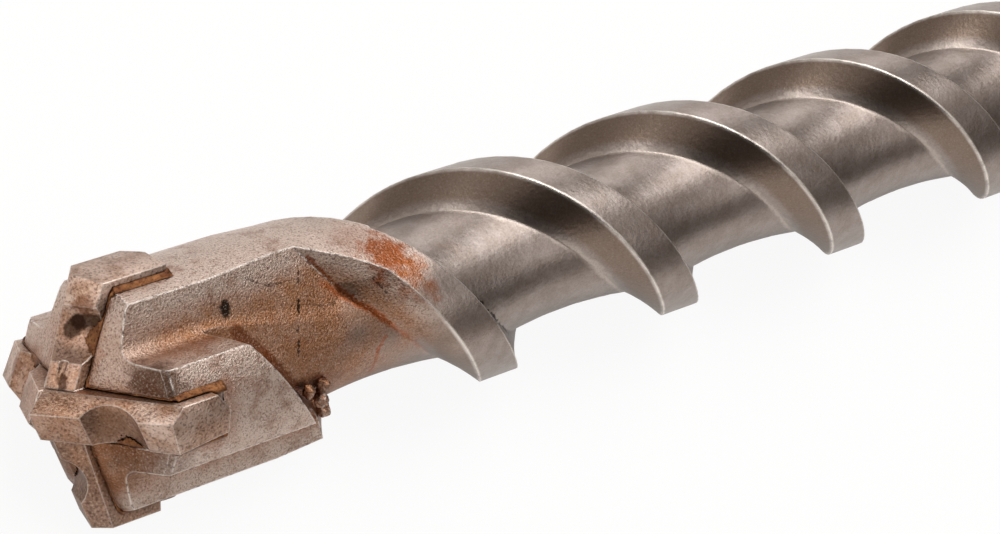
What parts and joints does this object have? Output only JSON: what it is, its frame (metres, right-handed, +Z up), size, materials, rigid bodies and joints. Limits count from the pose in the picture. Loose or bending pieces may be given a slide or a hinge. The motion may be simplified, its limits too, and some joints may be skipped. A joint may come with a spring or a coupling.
{
  "type": "sds plus drill bit",
  "caption": "Hammer drill bit for masonry: a brazed carbide cross head, right-hand double flutes and a slotted quick-change shank.",
  "frame": {"origin": "centre of the bounding box in plan, at the height of the floor the bit lies on", "axes": "+X along the bit from the carbide tip to the end of the shank, +Z up"},
  "size_m": [0.16, 0.014, 0.014],
  "materials": {
    "blasted_steel": "sand-blasted and heat tinted brown-grey",
    "carbide": "sintered, pinkish grey-brown",
    "braze": "oxidised orange-brown"
  },
  "bodies": {
    "root": {"steel_body": "blasted_steel", "carbide_head": "carbide", "braze_seam": "braze"}
  },
  "joints": []
}
